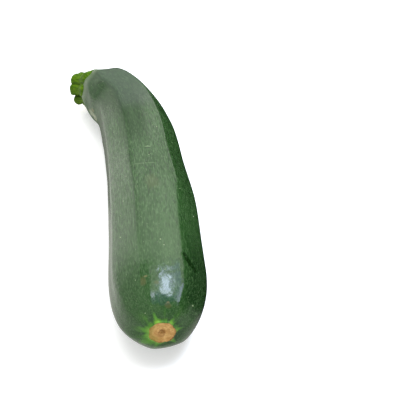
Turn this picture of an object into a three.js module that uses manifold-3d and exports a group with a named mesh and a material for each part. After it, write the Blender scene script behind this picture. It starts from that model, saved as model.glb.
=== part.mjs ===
// A courgette, as picked: the fruit with its dry blossom scar, and the ribbed stalk cut just above it.
//
// Millimetres, +Z up. The fruit lies along +Y, blossom end first, and bends to -X at its neck.
// The origin is on the ground, under the middle of the bounding box.
//
// Each piece is turned as a straight solid about its own length, then every point of it is moved:
// around, on to a section with uneven ridges or ribs, and along, on to the bent centre line.
import * as THREE from "three";
import { mergeVertices } from "three/addons/utils/BufferGeometryUtils.js";
import Module from "manifold-3d";

// ---------------------------------------------------------------- driving dimensions

// The centre line, at even steps from the blossom end. The last station only aims the stalk.
// clear is the height at which a round section of this radius would clear the ground.
const STATIONS = [
  { x: 20.9, y: -102.8, radius: 25.2, clear: 3.5 },
  { x: 17.6, y: -73.9, radius: 25.2, clear: -1.3 },
  { x: 15.0, y: -44.7, radius: 24.5, clear: -1.6 },
  { x: 12.1, y: -15.5, radius: 24.1, clear: -1.8 },
  { x: 7.4, y: 13.8, radius: 22.4, clear: -1.0 },
  { x: 1.8, y: 43.1, radius: 21.4, clear: 0.7 },
  { x: -8.1, y: 70.7, radius: 18.9, clear: 2.0 },
  { x: -28.1, y: 89.9, radius: 18.5, clear: -1.0 },
];
const STALK_AIM = { x: -43.7, y: 97.6, z: 0.8 };

// Where the ridges run, in degrees round the section: 0 is the -X side, 90 the top, 270 the ground.
const RIDGES = [32, 71, 124, 176, 232, 288, 338];
const RIDGE_ROUNDING = 5; // degrees over which a crest is rounded
const FACET_AT_SCAR = 0.7; // 1 is a flat facet between two ridges, 0 a round section
const FACET_AT_BELLY = 0.32;
const FACET_AT_NECK = 0.72;
const FACET_AT_STALK = 0.7;
const FLUTED_LENGTH = 11; // of the shoulder, where the facets change to that
const RIDGE_TURN = 33; // degrees that the ridges turn on their way over the shoulder to the stalk
const TURNING_LENGTH = 18;

const BLOSSOM_CAP = 46.4; // length over which the fat end closes
const BLOSSOM_BLUNT = 2.6; // 2 is an ellipse, more is blunter
const SHOULDER = 22; // length over which the neck closes to the stalk
const SHOULDER_BLUNT = 1.85;
const END_RADIUS = 9.3; // the flat that the stalk grows from

const SCAR_RADIUS = 7.3;
const SCAR_RIM = 0.7; // how far its rim stands out of its face
const SCAR_SUNK = 0.5; // how deep its face lies in the skin around it
const SCAR_REACH = 2.5; // how far along the fruit its corners fade
const DIMPLE_RADIUS = 1.8;
const DIMPLE_DEPTH = 1.2;

const STALK_LENGTH = 9.5; // from the fruit's flat end to the cut
const FIRST_RIB = 21; // degrees, on the same circle as the ridges
const RIB_SIZES = [0.93, 1.05, 0.92, 0.98, 0.96, 1.03, 0.99]; // shares of the radii below
// How deep the groove after each rib is, as shares of the rib radius.
const GROOVE_DEPTHS = [0.14, 0.07, 0.2, 0.24, 0.2, 0.22, 0.32];
const GROOVE_SHARPNESS = 1.9; // more makes narrower grooves between flatter ribs
const STALK_TOE = 13.4; // rib radius over the shoulder, at the waist and at the cut
const STALK_WAIST = 9.6;
const STALK_CUT = 10.8;
const TOE_REACH = 5.2; // how far the toes of the ribs run back over the shoulder
const CUT_DISH = 0.8; // how hollow the dried cut face is
const CUT_EDGE = 0.4; // how far the cut's edge is rounded
const GAP = 0.3; // between the stalk and the fruit

const STEPS_PER_FACET = 9; // of the fruit's skin, round and along
const STEPS_ALONG = 42;
const STALK_STEPS_PER_RIB = 8;

// ---------------------------------------------------------------- the centre line

const DEGREE = Math.PI / 180;
const UP = new THREE.Vector3(0, 0, 1);

const centres = STATIONS.map((s) => new THREE.Vector3(s.x, s.y, s.radius + s.clear));
const aim = new THREE.Vector3(STALK_AIM.x, STALK_AIM.y, STALK_AIM.z);
const centreLine = new THREE.CatmullRomCurve3([...centres, aim], false, "catmullrom", 0.5);
const radii = STATIONS.map((s) => new THREE.Vector3(s.radius, 0, 0));
const girth = new THREE.CatmullRomCurve3(radii, false, "catmullrom", 0.5);

const FRUIT_SHARE = (STATIONS.length - 1) / STATIONS.length; // of the centre line's parameter
centreLine.arcLengthDivisions = 100 * STATIONS.length;
const arcLengths = centreLine.getLengths();
const LINE_LENGTH = arcLengths[arcLengths.length - 1];
const FRUIT_LENGTH = arcLengths[100 * (STATIONS.length - 1)];

// The radius of the ridge crests at a distance along the fruit, before its ends close.
function radiusAt(along) {
  const parameter = centreLine.getUtoTmapping(THREE.MathUtils.clamp(along / LINE_LENGTH, 0, 1));
  return girth.getPoint(Math.min(parameter / FRUIT_SHARE, 1)).x;
}

// A point at a radius and an angle round the centre line, which runs straight on past the fruit.
function aroundLine(along, angle, radius) {
  const share = THREE.MathUtils.clamp(along, 0, FRUIT_LENGTH) / LINE_LENGTH;
  const centre = centreLine.getPointAt(share);
  const forward = centreLine.getTangentAt(share);
  const side = new THREE.Vector3().crossVectors(UP, forward).normalize();
  const top = new THREE.Vector3().crossVectors(forward, side);
  return centre
    .addScaledVector(forward, along - share * LINE_LENGTH)
    .addScaledVector(side, radius * Math.cos(angle * DEGREE))
    .addScaledVector(top, radius * Math.sin(angle * DEGREE));
}

// ---------------------------------------------------------------- solids

// A turned profile, with a move for each of its points, as one closed geometry.
// The profile's points are (radius, along); move gets along, the turn from 0 to 1, and the radius.
function turned(profile, steps, move) {
  const lathe = new THREE.LatheGeometry(profile, steps);
  lathe.deleteAttribute("normal");
  lathe.deleteAttribute("uv");
  const merged = mergeVertices(lathe, 1e-5);
  const corners = merged.getAttribute("position");
  for (let i = 0; i < corners.count; i++) {
    const turn = Math.atan2(corners.getX(i), corners.getZ(i)) / (2 * Math.PI);
    const radius = Math.hypot(corners.getX(i), corners.getZ(i));
    const point = move(corners.getY(i), turn - Math.floor(turn + 1e-9), radius);
    corners.setXYZ(i, point.x, point.y, point.z);
  }
  // The triangles that shrank to nothing on the axis are left out.
  const triangles = [];
  const index = merged.getIndex().array;
  for (let i = 0; i < index.length; i += 3) {
    const [a, b, c] = index.slice(i, i + 3);
    if (a !== b && b !== c && c !== a) triangles.push(a, b, c);
  }
  merged.setIndex(triangles);
  return merged;
}

const wasm = await Module();
wasm.setup();

function solidOf(geometry) {
  const vertProperties = new Float32Array(geometry.getAttribute("position").array);
  const triVerts = new Uint32Array(geometry.getIndex().array);
  return new wasm.Manifold(new wasm.Mesh({ numProp: 3, vertProperties, triVerts }));
}

function geometryOf(solid) {
  const mesh = solid.getMesh();
  const geometry = new THREE.BufferGeometry();
  geometry.setAttribute("position", new THREE.BufferAttribute(mesh.vertProperties, 3));
  geometry.setIndex(new THREE.BufferAttribute(mesh.triVerts, 1));
  geometry.computeVertexNormals();
  return geometry;
}

// ---------------------------------------------------------------- the fruit

// A turn from 0 to 1 as an angle that spends the same number of steps on every facet.
function facetAngle(turn) {
  const place = turn * RIDGES.length;
  const facet = Math.floor(place + 1e-6) % RIDGES.length;
  const next = facet + 1 < RIDGES.length ? RIDGES[facet + 1] : RIDGES[0] + 360;
  return RIDGES[facet] + (place - Math.floor(place + 1e-6)) * (next - RIDGES[facet]);
}

// How far the skin lies inside the crests at an angle, as a share of the radius, on flat facets.
function facetSag(angle) {
  const place = THREE.MathUtils.euclideanModulo(angle - RIDGES[0], 360) + RIDGES[0];
  const facet = RIDGES.filter((ridge) => ridge <= place).length - 1;
  const next = facet + 1 < RIDGES.length ? RIDGES[facet + 1] : RIDGES[0] + 360;
  const half = (next - RIDGES[facet]) / 2;
  const fromRidge = Math.min(place - RIDGES[facet], next - place);
  const rounded = (away) => Math.hypot(away, RIDGE_ROUNDING) - RIDGE_ROUNDING;
  const soft = (half * rounded(fromRidge)) / rounded(half);
  return 1 - Math.cos(half * DEGREE) / Math.cos((half - soft) * DEGREE);
}

// How flat the facets are at a distance along the fruit.
function facetAt(along) {
  const share = THREE.MathUtils.clamp(along / FRUIT_LENGTH, 0, 1);
  const body = THREE.MathUtils.lerp(FACET_AT_BELLY, FACET_AT_NECK, share);
  const fromScar = THREE.MathUtils.smoothstep(along, 0, SCAR_REACH);
  const toStalk = THREE.MathUtils.smoothstep(along, FRUIT_LENGTH - FLUTED_LENGTH, FRUIT_LENGTH);
  return THREE.MathUtils.lerp(
    THREE.MathUtils.lerp(FACET_AT_SCAR, body, fromScar),
    FACET_AT_STALK,
    toStalk,
  );
}

// How far the ridges have turned round the fruit at a distance along it, in degrees.
function ridgeTurn(along) {
  const start = FRUIT_LENGTH - TURNING_LENGTH;
  return RIDGE_TURN * THREE.MathUtils.smoothstep(along, start, FRUIT_LENGTH);
}

// The crests' radius along the fruit, with both ends closed.
function crestRadius(along) {
  const toBlossom = Math.max(1 - along / BLOSSOM_CAP, 0);
  const toStalk = THREE.MathUtils.clamp(1 - (FRUIT_LENGTH - along) / SHOULDER, 0, 1);
  const closing = 1 - Math.pow(END_RADIUS / radiusAt(FRUIT_LENGTH), SHOULDER_BLUNT);
  return (
    radiusAt(along) *
    Math.pow(1 - Math.pow(toBlossom, BLOSSOM_BLUNT), 1 / BLOSSOM_BLUNT) *
    Math.pow(1 - closing * Math.pow(toStalk, SHOULDER_BLUNT), 1 / SHOULDER_BLUNT)
  );
}

// Where the blossom end's cap has a given radius.
function capAt(radius) {
  const share = radius / radiusAt(0);
  return BLOSSOM_CAP * (1 - Math.pow(1 - Math.pow(share, BLOSSOM_BLUNT), 1 / BLOSSOM_BLUNT));
}

function fruitProfile(grown) {
  const face = capAt(SCAR_RADIUS) + SCAR_SUNK;
  const profile = [
    new THREE.Vector2(0, face + DIMPLE_DEPTH),
    new THREE.Vector2(DIMPLE_RADIUS * 0.5, face + DIMPLE_DEPTH * 0.8),
    new THREE.Vector2(DIMPLE_RADIUS, face + 0.1),
    new THREE.Vector2(SCAR_RADIUS * 0.55, face),
    new THREE.Vector2(SCAR_RADIUS * 0.78, face - SCAR_RIM * 0.4),
    new THREE.Vector2(SCAR_RADIUS * 0.93, face - SCAR_RIM),
    new THREE.Vector2(SCAR_RADIUS, face - SCAR_RIM * 0.5),
    new THREE.Vector2(SCAR_RADIUS * 1.07, face + 0.1),
  ];
  const start = capAt(SCAR_RADIUS * 1.3);
  for (let i = 0; i <= STEPS_ALONG; i++) {
    const even = i / STEPS_ALONG;
    const eased = (even + (1 - Math.cos(Math.PI * even)) / 2) / 2; // closer steps at both ends
    const along = start + (FRUIT_LENGTH - start) * eased;
    profile.push(new THREE.Vector2(crestRadius(along) + grown, along + grown * eased));
  }
  profile.push(new THREE.Vector2(END_RADIUS * 0.6, FRUIT_LENGTH + grown));
  profile.push(new THREE.Vector2(0, FRUIT_LENGTH + grown));
  return profile;
}

// grown is how much bigger than the fruit it is made, for cutting the stalk clear of it.
function fruitGeometry(grown = 0) {
  return turned(fruitProfile(grown), RIDGES.length * STEPS_PER_FACET, (along, turn, radius) => {
    const angle = facetAngle(turn);
    const sagged = radius * (1 - facetAt(along) * facetSag(angle));
    const point = aroundLine(along, angle + ridgeTurn(along), sagged);
    point.z = Math.max(point.z, 0); // the spot that it lies on is pressed flat
    return point;
  });
}

// ---------------------------------------------------------------- the stalk

// The stalk's radius at an angle, as a share: rounded ribs of uneven size with narrow grooves.
function ribShare(angle) {
  const ribs = RIB_SIZES.length;
  const place = THREE.MathUtils.euclideanModulo(((angle - FIRST_RIB) / 360) * ribs, ribs);
  const rib = Math.floor(place);
  const size = THREE.MathUtils.lerp(RIB_SIZES[rib], RIB_SIZES[(rib + 1) % ribs], place - rib);
  const inGroove = 1 - Math.abs(Math.cos(Math.PI * place));
  return size * (1 - GROOVE_DEPTHS[rib] * Math.pow(inGroove, GROOVE_SHARPNESS));
}

function stalkProfile() {
  const root = FRUIT_LENGTH - TOE_REACH;
  const cut = FRUIT_LENGTH + STALK_LENGTH;
  const side = new THREE.CatmullRomCurve3([
    new THREE.Vector3(STALK_TOE * 0.93, root, 0),
    new THREE.Vector3(STALK_TOE, root + 1.6, 0),
    new THREE.Vector3(STALK_TOE * 0.93, root + 4, 0),
    new THREE.Vector3(STALK_WAIST * 1.05, FRUIT_LENGTH + 2, 0),
    new THREE.Vector3(STALK_WAIST, FRUIT_LENGTH + STALK_LENGTH * 0.5, 0),
    new THREE.Vector3(STALK_CUT, cut - CUT_EDGE, 0),
    new THREE.Vector3(STALK_CUT * 0.97, cut, 0),
  ]);
  const profile = [new THREE.Vector2(0, root), new THREE.Vector2(STALK_TOE * 0.5, root)];
  for (const point of side.getPoints(16)) profile.push(new THREE.Vector2(point.x, point.y));
  profile.push(new THREE.Vector2(STALK_CUT * 0.7, cut - CUT_DISH * 0.4));
  profile.push(new THREE.Vector2(STALK_CUT * 0.35, cut - CUT_DISH));
  profile.push(new THREE.Vector2(0, cut - CUT_DISH));
  return profile;
}

function stalkGeometry() {
  const steps = RIB_SIZES.length * STALK_STEPS_PER_RIB;
  const rough = turned(stalkProfile(), steps, (along, turn, radius) => {
    const angle = FIRST_RIB + 360 * turn;
    return aroundLine(along, angle, radius * ribShare(angle));
  });
  return geometryOf(solidOf(rough).subtract(solidOf(fruitGeometry(GAP))));
}

// ---------------------------------------------------------------- the courgette

function piece(name, geometry, material) {
  const mesh = new THREE.Mesh(geometry, new THREE.MeshStandardMaterial(material));
  mesh.name = name;
  return mesh;
}

const courgette = new THREE.Group();
courgette.name = "courgette";
courgette.add(
  piece("fruit", fruitGeometry(), { color: 0x4a6b3c, roughness: 0.35, metalness: 0 }),
  piece("stalk", stalkGeometry(), { color: 0x6f9426, roughness: 0.5, metalness: 0 }),
);

export default courgette;
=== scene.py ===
# %% [markdown]
# # A courgette lying on its side
# A courgette is one grown fruit with a cut stalk on it. The solid model already gives
# both their size and place, so this script makes a finer skin round each of them,
# paints the two with node materials, and lights them on a pale table.
# Every cell makes one thing, and prints what it made.

import math

import bmesh
import bpy
import numpy as np
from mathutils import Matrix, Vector


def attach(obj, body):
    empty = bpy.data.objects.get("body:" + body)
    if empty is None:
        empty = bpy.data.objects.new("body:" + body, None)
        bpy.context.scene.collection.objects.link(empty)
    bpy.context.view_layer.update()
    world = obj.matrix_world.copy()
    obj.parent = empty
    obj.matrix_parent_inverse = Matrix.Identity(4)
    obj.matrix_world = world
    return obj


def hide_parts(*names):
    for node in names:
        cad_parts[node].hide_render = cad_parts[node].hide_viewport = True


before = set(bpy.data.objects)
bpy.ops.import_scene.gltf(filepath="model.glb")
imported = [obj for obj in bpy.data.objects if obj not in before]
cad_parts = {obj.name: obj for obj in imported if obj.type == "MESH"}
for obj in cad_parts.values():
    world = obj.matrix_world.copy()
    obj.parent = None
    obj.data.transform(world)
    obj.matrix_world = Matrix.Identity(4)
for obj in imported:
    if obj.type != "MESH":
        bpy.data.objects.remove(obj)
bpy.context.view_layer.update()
MM = 0.001

# %% [markdown]
# ## The camera
# The fruit lies with its blossom end towards the viewer, who looks down on it from
# the front at about 46 degrees. A lens of 83 mm keeps the near end only a little larger
# than the far one. The camera comes first, because every later choice is judged in it.


# %% Camera
def put(name, data):
    """An object with this data, in the scene."""
    made = bpy.data.objects.new(name, data)
    bpy.context.scene.collection.objects.link(made)
    return made


LOOKS_DOWN = math.radians(45.98)
CAMERA_AWAY = 494 * MM
CAMERA_AIM = Vector((38.4, -12.9, 25)) * MM
LENS, SENSOR = 83.06, 36  # both in millimetres
camera_data = bpy.data.cameras.new("camera")
camera_data.lens = LENS
camera_data.sensor_width = SENSOR
camera_data.clip_start = 10 * MM
camera = put("camera", camera_data)
to_viewer = Vector((0, -math.cos(LOOKS_DOWN), math.sin(LOOKS_DOWN)))
camera.location = CAMERA_AIM + to_viewer * CAMERA_AWAY
camera.rotation_euler = (math.pi / 2 - LOOKS_DOWN, 0, 0)
bpy.context.scene.camera = camera
print("camera at, mm:", [round(x / MM) for x in camera.location])

# %% [markdown]
# ## Writing node trees as sums
# Both the shapes and the finishes below are node trees. Placing a Math node by hand for
# every plus sign is slow, and hard to read back. So a `Wire` stands for one socket and
# knows the signs: `a + b` adds the Math node. A `Sheet` is the tree they are drawn on,
# and its method `add` makes any other node from its type, settings and inputs.

# %% Wire
def sign(operation):
    """A sign of arithmetic, once for `wire + other` and once for `other + wire`."""
    return (
        lambda self, other: self.math(operation, self, other),
        lambda self, other: self.math(operation, other, self),
    )


class Wire:
    """One socket of a node tree, for use in plain Python sums."""

    def __init__(self, sheet, socket):
        self.sheet = sheet
        self.socket = socket

    def out(self, name):
        """Another output of the same node."""
        return Wire(self.sheet, self.socket.node.outputs[name])

    def math(self, operation, *values):
        settings = {"operation": operation}
        return self.sheet.add("ShaderNodeMath", settings, dict(enumerate(values)))

    def __abs__(self):
        return self.math("ABSOLUTE", self)

    __add__, __radd__ = sign("ADD")
    __sub__, __rsub__ = sign("SUBTRACT")
    __mul__, __rmul__ = sign("MULTIPLY")
    __truediv__, __rtruediv__ = sign("DIVIDE")
    __pow__, __rpow__ = sign("POWER")

    def ramp(self, start, end, low=0.0, high=1.0):
        """Goes softly from low to high while this value goes from start to end."""
        if start > end:
            start, end, low, high = end, start, high, low
        settings = {"interpolation_type": "SMOOTHSTEP"}
        span = {"From Min": start, "From Max": end, "To Min": low, "To Max": high}
        return self.sheet.add("ShaderNodeMapRange", settings, {"Value": self, **span})


print("Wire is ready")


# %% Sheet
class Sheet:
    """A node tree that Wires are drawn on."""

    def __init__(self, tree):
        self.tree = tree

    def fill(self, node, values):
        """Gives a node's inputs their numbers, or links Wires to them."""
        for name, value in values.items():
            live = [s for s in node.inputs if s.enabled and s.name == name]
            socket = live[0] if live else node.inputs[name]
            for part in value if isinstance(value, list) else [value]:
                if isinstance(part, Wire):
                    self.tree.links.new(part.socket, socket)
                else:
                    socket.default_value = part

    def add(self, kind, settings=None, values=None):
        """A node: its settings first, then its inputs. Gives a Wire of its first output."""
        node = self.tree.nodes.new(kind)
        for name, value in (settings or {}).items():
            setattr(node, name, value)
        self.fill(node, values or {})
        live = [s for s in node.outputs if s.enabled]
        return Wire(self, live[0]) if live else None

    def vector(self, operation, *values):
        """Vector maths, where a Math node would keep only one number."""
        settings = {"operation": operation}
        return self.add("ShaderNodeVectorMath", settings, dict(enumerate(values)))

    def join(self, x, y, z):
        return self.add("ShaderNodeCombineXYZ", None, {0: x, 1: y, 2: z})

    def split(self, vector):
        first = self.add("ShaderNodeSeparateXYZ", None, {0: vector})
        return first, first.out("Y"), first.out("Z")


print("Sheet is ready")

# %% [markdown]
# ## The fruit as a bent turning
# A courgette could be sculpted by hand, but its shape follows a rule. Along its length
# it is a turned body: a blunt blossom end, a slowly thinning middle, a tighter shoulder
# at the stalk. Seen end on it has seven uneven, rounded ridges with nearly flat skin
# between them. And the whole of it is bent. So three guides are enough: a **profile**,
# a **section** and a **centre line**. Their measures are those of the solid model.
# A smooth line through a few points is all the mathematics they need.

# %% The fruit's measures, in millimetres and degrees
STATIONS = np.array(  # x, y, radius of the ridges, height of the underside
    [
        (20.9, -102.8, 25.2, 3.5),
        (17.6, -73.9, 25.2, -1.3),
        (15.0, -44.7, 24.5, -1.6),
        (12.1, -15.5, 24.1, -1.8),
        (7.4, 13.8, 22.4, -1.0),
        (1.8, 43.1, 21.4, 0.7),
        (-8.1, 70.7, 18.9, 2.0),
        (-28.1, 89.9, 18.5, -1.0),
    ]
)
STALK_AIM = (-43.7, 97.6, 0.8)
RIDGES = [32, 71, 124, 176, 232, 288, 338]  # 0 is the -X side, 90 the top
RIDGE_ROUNDING = 5
FACET_AT_SCAR = 0.7  # 1 is a flat facet, 0 a round section
FACET_AT_BELLY = 0.32
FACET_AT_NECK = 0.72
FACET_AT_STALK = 0.7
SCAR_LENGTH = 2.5  # along which the scar's facets become the body's
FLUTED_LENGTH = 11  # along which the body's become the stalk's
RIDGE_TURN = 33  # how far the ridges turn on their way over the shoulder
TURNING_LENGTH = 18
BLOSSOM_CAP = 46.4  # along which the blossom end closes
BLOSSOM_BLUNT = 2.6  # 2 is an ellipse, more is blunter
SHOULDER = 22  # the same at the stalk
SHOULDER_BLUNT = 1.85
END_RADIUS = 9.3  # of the flat end under the stalk
print(len(STATIONS), "stations and", len(RIDGES), "ridges")


# %% Helpers for smooth lines
def smooth(value, start, end):
    """0 before start, 1 after end, and a soft step between."""
    share = np.clip((value - start) / (end - start), 0, 1)
    return share * share * (3 - 2 * share)


def through(points, at):
    """The smooth line through evenly counted points, read at each number in at."""
    points = np.asarray(points, float).reshape(len(points), -1)
    held = np.vstack([2 * points[0] - points[1], points, 2 * points[-1] - points[-2]])
    first = np.clip(np.floor(at).astype(int), 0, len(points) - 2)
    share = (at - first)[:, None]
    before, start, end, after = (held[first + i] for i in range(4))
    leave, arrive = (end - before) / 2, (after - start) / 2
    square = 3 * (end - start) - 2 * leave - arrive
    cube = 2 * (start - end) + leave + arrive
    return start + leave * share + square * share**2 + cube * share**3


def rows_through(points, count):
    """The same line as so many even rows."""
    return through(points, np.linspace(0, len(points) - 1, count))


print("halfway a soft step is", smooth(0.5, 0, 1))

# %% The centre line
SPANS = len(STATIONS) - 1
LINE_STEPS = 60  # between two stations
STALK_ROOM = 30  # the line goes straight on by this much for the stalk
heights = STATIONS[:, 2] + STATIONS[:, 3]
middles = np.column_stack([STATIONS[:, 0], STATIONS[:, 1], heights])
line_at = np.linspace(0, SPANS, SPANS * LINE_STEPS + 1)
centre_line = through(np.vstack([middles, STALK_AIM]), line_at)
line_steps = np.linalg.norm(np.diff(centre_line, axis=0), axis=1)
line_lengths = np.concatenate([[0], np.cumsum(line_steps)])
LENGTH = line_lengths[-1]
onward = centre_line[-1] - centre_line[-2]
straight_on = centre_line[-1] + STALK_ROOM * onward / np.linalg.norm(onward)
centre_line = np.vstack([centre_line, straight_on])
print("the fruit is", round(LENGTH, 1), "mm long round its bend")


# %% The section: ridges, with flat skin between them
def facet_sag(angle):
    """How far flat skin lies inside the ridges at an angle, as a share of the radius."""
    ridges = np.array([RIDGES[-1] - 360, *RIDGES, RIDGES[0] + 360])
    facet = np.searchsorted(ridges, angle, side="right") - 1
    half = (ridges[facet + 1] - ridges[facet]) / 2
    from_ridge = np.minimum(angle - ridges[facet], ridges[facet + 1] - angle)
    rounded = np.hypot(from_ridge, RIDGE_ROUNDING) - RIDGE_ROUNDING
    soft = half * rounded / (np.hypot(half, RIDGE_ROUNDING) - RIDGE_ROUNDING)
    return 1 - np.cos(np.radians(half)) / np.cos(np.radians(half - soft))


def facet_share(along):
    """How much of that sag the fruit has at a distance along it."""
    body = FACET_AT_BELLY + (FACET_AT_NECK - FACET_AT_BELLY) * along / LENGTH
    front = FACET_AT_SCAR + (body - FACET_AT_SCAR) * smooth(along, 0, SCAR_LENGTH)
    to_stalk = smooth(along, LENGTH - FLUTED_LENGTH, LENGTH)
    return front + (FACET_AT_STALK - front) * to_stalk


def ridge_turn(along):
    """How far the ridges have turned round the fruit at a distance along it."""
    return RIDGE_TURN * smooth(along, LENGTH - TURNING_LENGTH, LENGTH)


deepest = facet_sag(np.arange(360.0)).max() * FACET_AT_BELLY
print("the belly's skin sags", round(deepest * 100, 1), "% of its radius at most")


# %% The profile: how wide the fruit is
def ridge_radius(along):
    """The radius of the ridges, before the ends close."""
    at = np.interp(along, line_lengths, line_at)
    return through(STATIONS[:, 2], at)[:, 0]


def crest_radius(along):
    """The same with both ends closed."""
    to_blossom = np.clip(1 - along / BLOSSOM_CAP, 0, 1)
    to_stalk = np.clip(1 - (LENGTH - along) / SHOULDER, 0, 1)
    last = ridge_radius(np.array([LENGTH]))[0]
    closing = 1 - (END_RADIUS / last) ** SHOULDER_BLUNT
    front = (1 - to_blossom**BLOSSOM_BLUNT) ** (1 / BLOSSOM_BLUNT)
    back = (1 - closing * to_stalk**SHOULDER_BLUNT) ** (1 / SHOULDER_BLUNT)
    return ridge_radius(along) * front * back


def cap_at(radius):
    """How far along the blossom end has this radius."""
    share = radius / STATIONS[0, 2]
    return BLOSSOM_CAP * (1 - (1 - share**BLOSSOM_BLUNT) ** (1 / BLOSSOM_BLUNT))


print("widest, mm:", round(2 * crest_radius(line_lengths).max(), 1))

# %% The profile's rows
SCAR_RADIUS = 7.3
SCAR_FACE = cap_at(SCAR_RADIUS) + 0.5
BODY_FROM = 9.5  # the radius at which the plain body begins
SCAR_ROWS, BODY_ROWS, FINE_ROWS = 57, 290, 9001
scar_rows = rows_through(  # radius, along
    [
        (0, SCAR_FACE + 1.2),
        (0.9, SCAR_FACE + 0.96),
        (1.8, SCAR_FACE + 0.1),
        (4.0, SCAR_FACE),
        (5.7, SCAR_FACE - 0.28),
        (6.8, SCAR_FACE - 0.7),
        (7.3, SCAR_FACE - 0.35),
        (7.8, SCAR_FACE + 0.1),
        (BODY_FROM, cap_at(BODY_FROM)),
    ],
    SCAR_ROWS,
)
plain_from = cap_at(BODY_FROM)
fine_share = smooth(np.linspace(0, 1, FINE_ROWS), 0, 1)
fine_along = plain_from + (LENGTH - plain_from) * fine_share
fine_radius = crest_radius(fine_along)
fine_steps = np.hypot(np.diff(fine_along), np.diff(fine_radius))
fine_reach = np.concatenate([[0], np.cumsum(fine_steps)])
even_reach = np.linspace(0, fine_reach[-1], BODY_ROWS)[1:]
body_rows = np.column_stack(
    [np.interp(even_reach, fine_reach, fine_radius), np.interp(even_reach, fine_reach, fine_along)]
)
end_rows = [(END_RADIUS * 0.6, LENGTH), (0, LENGTH)]
fruit_rows = np.vstack([scar_rows, body_rows, end_rows])
print(len(fruit_rows), "rows along the fruit")

# %% [markdown]
# ## Guides for the fruit
# The three guides are handed to Geometry Nodes as small objects: their vertices carry
# the numbers. Two short chains of points more, placed as on a straight fruit, say where
# the skin is creased. A fruit's marks grow along it and bend with it, so everything on
# the skin is placed by its angle and its distance along.


# %% Guides
def chain(first, count):
    """The edges that join this many points in a row into one line."""
    return [(i, i + 1) for i in range(first, first + count - 1)]


guides = []


def guide(name, points, edges=(), **numbers):
    """An object whose vertices are a guide's points in millimetres, each with more numbers."""
    mesh = bpy.data.meshes.new(name)
    mesh.from_pydata((np.asarray(points) * MM).tolist(), edges, [])
    for label, values in numbers.items():
        held = mesh.attributes.new(label, "FLOAT", "POINT")
        held.data.foreach_set("value", np.asarray(values, np.float32))
    guides.append(put(name, mesh))
    return guides[-1]


def section_points(angles, sag):
    """A unit circle in metres, with the section's sag as its third number."""
    turn = np.radians(angles)
    return np.column_stack([np.cos(turn), np.sin(turn), sag]) / MM


def straight_place(angle, along):
    """Where a place on the skin would be on the straight fruit, in millimetres."""
    sag = facet_share(along) * facet_sag(np.array([angle % 360.0]))[0]
    radius = crest_radius(np.array([along]))[0] * (1 - sag)
    turn = np.radians(angle)
    return (radius * np.cos(turn), radius * np.sin(turn), along)


print("helpers for guides are ready")

# %% The fruit's guides
FRUIT_SIDES = 256
GROUND_ANGLE = -90  # the grid's seam lies under the fruit
fruit_angles = np.linspace(GROUND_ANGLE, GROUND_ANGLE + 360, FRUIT_SIDES + 1)
fruit_section = section_points(fruit_angles, facet_sag(np.mod(fruit_angles, 360)))
fruit_press = facet_share(fruit_rows[:, 1])
fruit_reach = np.concatenate([[0], np.cumsum(np.hypot(*np.diff(fruit_rows, axis=0).T))])
fruit_profile = np.column_stack([fruit_rows[:, 0], fruit_press / MM, fruit_rows[:, 1]])
CREASE = [(125, 33.5), (129, 31.2), (135, 29.0), (143, 27.2)]  # degrees, along
SMALL_CREASE = [(128, 30.6), (134, 28.2)]
creased = [straight_place(*spot) for spot in CREASE + SMALL_CREASE]
crease_edges = chain(0, len(CREASE)) + chain(len(CREASE), len(SMALL_CREASE))
crease_guide = guide("creases", creased, crease_edges)
line_guide = guide("centre_line", centre_line, chain(0, len(centre_line)))
fruit_turn = np.radians(ridge_turn(fruit_rows[:, 1]))
profile_guide = guide("fruit_profile", fruit_profile, reach=fruit_reach * MM, turn=fruit_turn)
section_guide = guide("fruit_section", fruit_section)
print("the fruit's skin is", round(fruit_reach[-1]), "mm from end to end")

# %% [markdown]
# ## Short words for Geometry Nodes
# The same few steps come up in every shape's tree: start it with named inputs, take in
# a guide, read a stored number, look one up on another shape, store one, and hand the
# shape out. Written once as methods, they leave each tree to say only what it does.
# Stored numbers outlive the tree: a material can read them later, wherever the vertex
# has been moved to.


# %% Growth
class Growth(Sheet):
    """A Geometry Nodes tree with named inputs, listed by their kind."""

    def __init__(self, name, inputs):
        super().__init__(bpy.data.node_groups.new(name, "GeometryNodeTree"))
        sockets, geometry = self.tree.interface, "NodeSocketGeometry"
        sockets.new_socket("Geometry", in_out="INPUT", socket_type=geometry)
        for kind, labels in inputs.items():
            for label in labels:
                sockets.new_socket(label, in_out="INPUT", socket_type="NodeSocket" + kind)
        sockets.new_socket("Geometry", in_out="OUTPUT", socket_type=geometry)
        self.inputs = self.add("NodeGroupInput")

    def given(self, label):
        return self.inputs.out(label)

    def given_shape(self, label):
        """The geometry of the object given under this label."""
        info = self.add("GeometryNodeObjectInfo", None, {"Object": self.given(label)})
        return info.out("Geometry")

    def stored(self, name, kind="FLOAT"):
        return self.add("GeometryNodeInputNamedAttribute", {"data_type": kind}, {"Name": name})

    def sample(self, geometry, value, index, kind="FLOAT_VECTOR"):
        """What a value is at one point of another geometry."""
        values = {"Geometry": geometry, "Value": value, "Index": index}
        return self.add("GeometryNodeSampleIndex", {"data_type": kind}, values)

    def store(self, geometry, name, value, kind="FLOAT_VECTOR", domain="POINT"):
        settings = {"data_type": kind, "domain": domain}
        values = {"Geometry": geometry, "Name": name, "Value": value}
        return self.add("GeometryNodeStoreNamedAttribute", settings, values)

    def thrice(self, number):
        """A vector of one number, to scale another vector evenly."""
        return self.join(number, number, number)

    def hand_out(self, shape):
        """Makes instances real, gives them the material and ends the tree."""
        shape = self.add("GeometryNodeRealizeInstances", None, {"Geometry": shape})
        finish = {"Geometry": shape, "Material": self.given("Material")}
        shape = self.add("GeometryNodeSetMaterial", None, finish)
        self.add("NodeGroupOutput", None, {"Geometry": shape})
        return self.tree


print("Growth is ready")

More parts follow.
